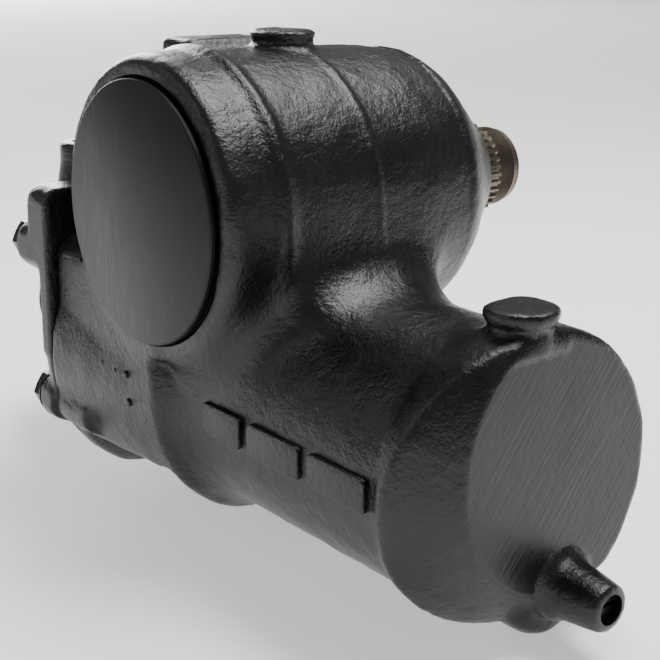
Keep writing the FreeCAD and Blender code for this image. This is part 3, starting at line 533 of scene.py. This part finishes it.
def valley_fillers(sizes):
    """Beads along the notch where the drum meets the barrel's front, to be smoothed into a fillet."""
    drum, barrel = sizes.drum_radius / MM, sizes.barrel_radius / MM
    beads = []
    for x, radius in ((15, 8), (22, 11), (30, 13), (38, 14.5), (46, 15), (54, 15), (61, 14)):
        z = -math.sqrt(drum ** 2 - x ** 2)
        y = across(-math.sqrt(barrel ** 2 - (z - PISTON[1]) ** 2))
        beads.append(ball((x, y, z), radius, 32, 16))
    return beads


def gate_pads():
    """Broken-off casting gates on the drum and on the end section, each on a short stalk."""
    drum_pad = [(64, 23), (70, 18.5), (73.5, 15.3), (76.5, 14.5), (78, 16.3), (80, 16.5), (80.9, 15.6)]
    end_pad = [(-52, 13), (-31, 14.5), (-26, 13.2), (-24, 13.4), (-22.6, 16), (-18.3, 16.2), (-17.1, 15.2)]
    nub = [(72, 3.5), (80.9, 3), (81.2, 2.2)]
    end_nub = [(-30, 4), (-17, 3.4), (-16.6, 2.6)]
    return [turned("Z", drum_pad, (0, depth(85))), turned("Z", end_pad, (172, across(-2))),
            turned("Z", nub, (-13, depth(90)), 24), turned("Z", end_nub, (161, across(4)), 24)]


def limiter_boss():
    """Rounded lobe under the closed end and the tapered boss of the stroke limiter."""
    lobe = [(130, 8), (146, 22), (156, 26), (164, 26.6), (172, 26.4), (176, 24.5), (178, 20)]
    boss = [(150, 16.2), (184, 16.2), (187.5, 15.6), (189, 13.9), (SCREW_HIGH.x + 3.5, 10.9),
            (HOUSING_HIGH.x - 0.1, 10)]
    return [turned("X", lobe, (across(24), -148.5)), turned("X", boss, SCREW)]


MOUNT_PLACES = [(x, z) for x in (-58, 100) for z in (-126, -70)]
FRONT_BOLTS = [(across(-66), -121), (across(-66), -38)]
REAR_BOLTS = [(across(66), -38), (across(64), -124)]


def housing_bodies(sizes):
    """All the overlapping bodies that the gear housing is cast from."""
    lug = block((-46, depth(44), 45), (-20, depth(92), 76), 3)
    mounts = [rod("Y", across(40), across(82), 19, place) for place in MOUNT_PLACES]
    bosses = [rod("X", SEAM_X, SEAM_X + 31, 11.5, place) for place in (FRONT_BOLTS[0], REAR_BOLTS[1])]
    large = [drum_body(sizes), barrel_body(sizes), neck_body(), neck_shoulders(), end_body(sizes),
             saddle_body()]
    return large + [lug] + valley_fillers(sizes) + gate_pads() + limiter_boss() + mounts + bosses


def saddle_weight(point):
    """Where drum, neck and barrel run into one another and the casting has its largest fillets."""
    behind = ramp_down((point - Vector((80, across(0), -30))).length, 46, 84)
    below_drum = ramp_down((point - Vector((44, depth(24), -62))).length, 30, 54)
    clear_of_rim = ramp_down(-point.x, -18, -6)
    return max(behind, below_drum) * clear_of_rim * ramp_down(point.y, depth(140), depth(165))


def drum_relief(distance):
    """Height in mm of the raised band and the parting step on the drum, by distance behind the cap."""
    band = 2.6 * math.exp(-((distance - 34) / 3.8) ** 2)
    step = 0.7 * math.exp(-((distance - 88) / 1.6) ** 2) - 0.8 * ramp_down(-distance, -91, -88)
    return band + step


def press_drum_relief(piece, radius):
    """Moves the drum's skin out or in, fading out where the drum runs into the saddle."""
    for vertex in piece.data.vertices:
        point = vertex.co / MM
        reach = math.hypot(point.x, point.z)
        if depth(10) < point.y < depth(150) and reach < radius + 3:
            low_side = ramp_down(-point.z, 0, 32)
            shift = drum_relief(point.y - CAP_Y) * ramp_down(abs(reach - radius), 3, 8) * low_side
            vertex.co.x += point.x / reach * shift * MM
            vertex.co.z += point.z / reach * shift * MM


def end_grind(point):
    """True on the closed end, clear of the limiter boss and the gate pad."""
    clear_of_boss = math.hypot(point.y - SCREW[0], point.z - SCREW[1]) > 18
    return clear_of_boss and not (point.z > -36 and abs(point.y - across(-2)) < 16.5)


def bores():
    """Machined bores and faces, cut after the skin is cast."""
    cuts = [turned("Y", [(CAP_Y - 4, 65), (depth(5.2), 63.4), (depth(6.8), 61.5), (depth(111), 61.5)], DRUM),
            rod("X", SEAM_X - 4, BARREL_END_X, BORE_R, PISTON),
            rod("Y", depth(105), depth(172), 35, DRUM),
            rod("Y", depth(171), depth(194), 27.6, DRUM),
            turned("Y", [(depth(193), 31), (depth(200), 31), (depth(202), 32)], DRUM),
            rod("X", 170, HOUSING_HIGH.x + 2, 7.0, SCREW),
            rod("X", SEAM_X - 20, SEAM_X, BEYOND, PISTON)]
    cuts += [rod("Y", across(60), across(84), 9, place, HOLE_SIDES) for place in MOUNT_PLACES]
    cuts += [rod("X", SEAM_X - 2, SEAM_X + 28.5, 7, place, HOLE_SIDES) for place in FRONT_BOLTS + REAR_BOLTS]
    return cuts


def raised_tiles():
    """Three plain tiles in a row on the barrel's flank."""
    tiles = []
    tile_top_r = 64.9
    for low, high in ((31, 61), (67, 105), (111, 149)):
        tile = block((low, across(-67), PISTON[1] - 8), (high, across(-55), PISTON[1] + 8), 3,
                     lambda middle, direction: abs(direction.y) > 0.9)
        combine(tile, [rod("X", 20, 156, tile_top_r, PISTON, 192)], "INTERSECT")
        tiles.append(finish_with(tile, "BEVEL", width=1.4 * MM, segments=3, limit_method="ANGLE"))
    return tiles


def wall_marks():
    """Raised dots on the neck's wall, each with a draft from its foot to its top."""
    marks = []
    for x, z, radius in ((-56.6, -86, 1.9), (-45.2, -85.8, 2.6), (-32.2, -86, 1.6), (-22.3, -85.4, 1.9),
                         (-67.3, -100, 2.0), (-55.8, -101, 2.0), (-38, -99.5, 1.4), (-20.3, -99.6, 2.0)):
        stations = [(depth(3.6), radius - 0.9), (depth(4.2), radius), (depth(8.5), radius + 0.6)]
        marks.append(turned("Y", stations, (x, z), 20))
    return marks


class GEAR_OT_housing(bpy.types.Operator):
    """Gear housing: drum, barrel, neck and closed end as one casting with its machined bores"""

    bl_idname = "gear.housing"
    bl_label = "Gear housing"

    def execute(self, context):
        sizes = context.scene.gear_sizes
        middle_radius = sizes.drum_radius / MM - 0.6
        shell = cast_together("gear_casting", housing_bodies(sizes), sizes.casting_step / MM, CORNER_PASSES)
        soften(shell, SADDLE_PASSES, saddle_weight)
        press_drum_relief(shell, middle_radius)
        for size, height in HOUSING_LUMPS:
            press_lumps(shell, size, height)
        grind_flat(shell, "X", FACE_X - 0.2, end_grind)
        grind_flat(shell, "X", HOUSING_HIGH.x - 0.1, everywhere)
        grind_flat(shell, "Z", HOUSING_HIGH.z - 0.1, everywhere)
        combine(shell, raised_tiles() + wall_marks(), "UNION")
        combine(shell, bores())
        smooth_shade(shell)
        dress(shell, "enamelled housing")
        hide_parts("gear_housing")
        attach(shell, "housing")
        return {"FINISHED"}


# ---------------------------------------------------------------- valve housing
EAR_TOP_Z = -3.2
FLANGE_X = -104                                     # back of the joint flange
PORTS = [(-122, across(-36)), (-122, across(14))]
RELIEF = (-135, -72)
HEAD_SEATS_X = (-109.5, -126, -118, -109.5)         # under the joint bolts' heads, front pair first


def flange_body():
    """Joint flange: tapered round below, square shoulders above and the raised front edge."""
    flange = turned("X", [(FLANGE_X, 75.5), (-102, 77.3), (SEAM_X, NECK_R)], PISTON, FINE_SIDES)
    slice_off(flange, (0, 0, FLAT_BOTTOM_Z), (0, 0, -1))

    def outer_edge(middle, direction):
        return abs(direction.x) > 0.9 and middle.z > -40

    shoulders = block((FLANGE_X, across(-79), -94), (SEAM_X, across(76), -28), 9,
                      lambda middle, direction: outer_edge(middle, direction) and middle.y > across(0))
    raised = block((FLANGE_X, across(-79), -60), (SEAM_X, across(30), EAR_TOP_Z), 10, outer_edge)
    return [flange, shoulders, raised]


def ear_body():
    """Thick block behind the flange's raised edge, with the boss under the upper front bolt."""
    def back_or_front_edge(middle, direction):
        return middle.x < -110 or (abs(direction.x) > 0.9 and middle.y < across(-50))

    ear = block((-118, across(-79.6), -48), (-103, across(-20), EAR_TOP_Z), 9.5, back_or_front_edge)
    return [ear, rod("X", -126, -103.5, 14.4, FRONT_BOLTS[1])]


def valve_bodies():
    """All the overlapping bodies that the valve housing is cast from."""
    def upper_edge(middle, direction):
        return middle.z > -60 and (abs(direction.z) > 0.9 or middle.z > -10)

    body = [(-198, 29), (-197, 30), (-176, 31), (-168, 40), (-152, 42), (-146, 48), (-103, 54)]
    port = [(-40, 20), (-8, 17), (4, 15), (13, 15), (14.9, 13.5)]
    tower = block((-139, across(-52), -96), (-103, across(44), -6), 8, upper_edge)
    bosses = [rod("X", -118, -100, 15, REAR_BOLTS[0]), rod("X", -109.4, -96, 13.5, FRONT_BOLTS[0]),
              rod("X", -109.4, -96, 13.5, REAR_BOLTS[1]), rod("Y", across(10), across(52), 15, RELIEF)]
    return (flange_body() + ear_body() + [turned("X", body, PISTON), tower] + bosses
            + [turned("Z", port, place) for place in PORTS])


def valve_bores():
    """Stepped bore of the rotary valve, the ports, the relief bore, the bolt holes and their seats."""
    steps = [(-103, SEAM_X + 4, BORE_R + 1), (-110, -102, 30.05), (-123, -109, 24.6), (-173, -122, 24),
             (-187, -172, 19), (-189, -186, 16.5), (-200, -188.5, 22)]
    cuts = [rod("X", start, end, radius, PISTON) for start, end, radius in steps]
    cuts.append(rod("Y", across(26), across(54), 9, RELIEF, HOLE_SIDES))
    cuts.append(rod("X", SEAM_X, SEAM_X + 20, BEYOND, PISTON))
    cuts += [rod("Z", -4, 17, 8.5, place, HOLE_SIDES) for place in PORTS]
    for place, seat_x in zip(FRONT_BOLTS + REAR_BOLTS, HEAD_SEATS_X):
        cuts.append(rod("X", -140, SEAM_X + 1, 7.5, place, HOLE_SIDES))
        cuts.append(rod("X", seat_x - 18, seat_x, 14.3, place, HOLE_SIDES))
    return cuts


class GEAR_OT_valve_housing(bpy.types.Operator):
    """Valve housing: joint flange with its raised front edge, ports and the hub round the input shaft"""

    bl_idname = "gear.valve_housing"
    bl_label = "Valve housing"

    def execute(self, context):
        sizes = context.scene.gear_sizes
        shell = cast_together("valve_casting", valve_bodies(), sizes.casting_step / MM, CORNER_PASSES)
        for size, height in VALVE_LUMPS:
            press_lumps(shell, size, height)
        grind_flat(shell, "Y", depth(0.25), everywhere, keep_below=False)
        combine(shell, valve_bores())
        smooth_shade(shell)
        dress(shell, "enamelled valve housing")
        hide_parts("valve_housing")
        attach(shell, "housing")
        return {"FINISHED"}


# ---------------------------------------------------------------- cover cap
class GEAR_OT_cover_cap(bpy.types.Operator):
    """Pressed cap over the side cover bore, a flat disc with a fine chamfer standing proud of the rim"""

    bl_idname = "gear.cover_cap"
    bl_label = "Cover cap"

    def execute(self, context):
        outline = [(0, CAP_R - 0.9), (0.25, CAP_R - 0.45), (0.8, CAP_R), (2.5, CAP_R), (2.6, 59), (4.6, 59),
                   (4.7, CAP_R - 0.5), (6.6, CAP_R - 0.5), (6.6, 56.5), (2.7, 56.4)]
        cap = turned("Y", [(depth(d), r) for d, r in outline], DRUM, 256)
        cap.name = "cap_disc"
        smooth_shade(cap, 30)
        dress(cap, "enamelled cap")
        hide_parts("cover_cap")
        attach(cap, "housing")
        return {"FINISHED"}


# ---------------------------------------------------------------- pieces kept as packed
class GEAR_OT_kept_pieces(bpy.types.Operator):
    """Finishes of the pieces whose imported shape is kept: shafts, bearings, springs, seals and screws"""

    bl_idname = "gear.kept_pieces"
    bl_label = "Inner parts and fasteners"

    def execute(self, context):
        for finish, names in NODE_FINISHES.items():
            for name in names:
                dress(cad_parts[name], finish)
        return {"FINISHED"}


# ---------------------------------------------------------------- stage
FLOOR_SIZE = 80                                     # m, so that its edge is never in view
FLOOR_GLOW = 0.66                                   # evens out the floor as a lit studio floor is
WORLD_LIGHT = 0.26
LENS, SENSOR_WIDTH = 71.5, 36                       # mm
LIGHT_AIM = (0, -0.1, -0.05)
SOFTBOXES = [("top softbox", (0.15, 0.3, 1.3), 34, 1.1, 0.6),          # place in m, power in W, width, height
             ("left softbox", (-6, 1.9, 1.55), 330, 2.4, 3.2),
             ("front softbox", (-0.6, -1.5, 0.9), 3.5, 0.5, 0.4)]
CAMERA_PLACE = (0.51946, -0.50865, 0.12706)
CAMERA_TURN, CAMERA_TILT, CAMERA_ROLL = (math.radians(angle) for angle in (50.86, 16.97, 0.76))


class GEAR_OT_stage(bpy.types.Operator):
    """Pale floor, soft studio light and the camera"""

    bl_idname = "gear.stage"
    bl_label = "Stage"

    def execute(self, context):
        colours = context.scene.gear_colours
        deselect()
        floor_z = CAD_BOX[0][2]
        bpy.ops.mesh.primitive_plane_add(size=FLOOR_SIZE, location=(0, 0, floor_z))
        floor = bpy.context.object
        floor.name = "floor"
        material, tree = new_material("pale studio floor")
        tone = linear(colours.floor)
        links = {"Base Color": tone, "Roughness": 0.9, "Emission Color": tone,
                 "Emission Strength": FLOOR_GLOW}
        shader = add_node(tree, "ShaderNodeBsdfPrincipled", links)
        add_node(tree, "ShaderNodeOutputMaterial", {0: shader.outputs[0]})
        floor.data.materials.append(material)
        world = bpy.data.worlds.new("studio")
        world.use_nodes = True
        world.node_tree.nodes["Background"].inputs[0].default_value = (1, 1, 1, 1)
        world.node_tree.nodes["Background"].inputs[1].default_value = WORLD_LIGHT
        context.scene.world = world
        aim = Vector(LIGHT_AIM)
        for name, place, power, width, height in SOFTBOXES:
            lamp = bpy.data.lights.new(name, "AREA")
            lamp.shape = "RECTANGLE"
            lamp.energy = power
            lamp.size = width
            lamp.size_y = height
            box = bpy.data.objects.new(name, lamp)
            box.location = place
            box.rotation_euler = (aim - Vector(place)).to_track_quat("-Z", "Y").to_euler()
            context.collection.objects.link(box)
        lens = bpy.data.cameras.new("camera")
        lens.lens = LENS
        lens.sensor_width = SENSOR_WIDTH
        lens.clip_start = 0.01
        camera = bpy.data.objects.new("camera", lens)
        camera.matrix_world = (Matrix.Translation(CAMERA_PLACE) @ Matrix.Rotation(CAMERA_TURN, 4, "Z")
                               @ Matrix.Rotation(math.pi / 2 - CAMERA_TILT, 4, "X")
                               @ Matrix.Rotation(CAMERA_ROLL, 4, "Z"))
        context.collection.objects.link(camera)
        context.scene.camera = camera
        return {"FINISHED"}


# ---------------------------------------------------------------- add-on
def length_setting(name, description, default, low, high):
    return bpy.props.FloatProperty(name=name, description=description, default=default, min=low, max=high,
                                   unit="LENGTH")


def tone_setting(name, description, default):
    return bpy.props.StringProperty(name=name, description=description, default=default)


class GearSizes(bpy.types.PropertyGroup):
    drum_radius: length_setting("Drum radius", "Radius of the sector shaft housing", 0.0739, 0.065, 0.0745)
    barrel_radius: length_setting("Barrel radius", "Outside radius of the cylinder", 0.0627, 0.056, 0.066)
    end_radius: length_setting("End radius", "Radius of the thick closed end", 0.0695, 0.064, 0.07)
    casting_step: length_setting("Casting step", "Spacing of the points on the cast skin",
                                 0.0018, 0.0015, 0.004)


class GearColours(bpy.types.PropertyGroup):
    paint_dark: tone_setting("Paint, dark", "Darker tone of the enamel", "#080706")
    paint_light: tone_setting("Paint, light", "Lighter tone of the enamel", "#0e0d0c")
    steel_dark: tone_setting("Steel, dark", "Darker tone of the shaft", "#5d564c")
    steel_light: tone_setting("Steel, light", "Lighter tone of the shaft", "#7d766a")
    rubber: tone_setting("Rubber", "Tone of the seals", "#121211")
    floor: tone_setting("Floor", "Tone of the studio floor", "#f2f1ef")


PIECE_OPERATORS = (GEAR_OT_kept_pieces, GEAR_OT_housing, GEAR_OT_valve_housing, GEAR_OT_cover_cap,
                   GEAR_OT_stage)


class GEAR_PT_panel(bpy.types.Panel):
    bl_label = "Steering gear"
    bl_idname = "GEAR_PT_panel"
    bl_space_type = "VIEW_3D"
    bl_region_type = "UI"
    bl_category = "Steering gear"

    def draw(self, context):
        for group in (context.scene.gear_sizes, context.scene.gear_colours):
            for key in group.bl_rna.properties.keys():
                if key not in ("rna_type", "name"):
                    self.layout.prop(group, key)
        for operator in PIECE_OPERATORS:
            self.layout.operator(operator.bl_idname)


CLASSES = (GearSizes, GearColours) + PIECE_OPERATORS + (GEAR_PT_panel,)


def register():
    for item in CLASSES:
        bpy.utils.register_class(item)
    bpy.types.Scene.gear_sizes = bpy.props.PointerProperty(type=GearSizes)
    bpy.types.Scene.gear_colours = bpy.props.PointerProperty(type=GearColours)


def unregister():
    del bpy.types.Scene.gear_colours
    del bpy.types.Scene.gear_sizes
    for item in reversed(CLASSES):
        bpy.utils.unregister_class(item)


def main():
    register()
    bpy.ops.gear.stage()
    bpy.ops.gear.kept_pieces()
    bpy.ops.gear.housing()
    bpy.ops.gear.valve_housing()
    bpy.ops.gear.cover_cap()


if __name__ == "__main__":
    main()
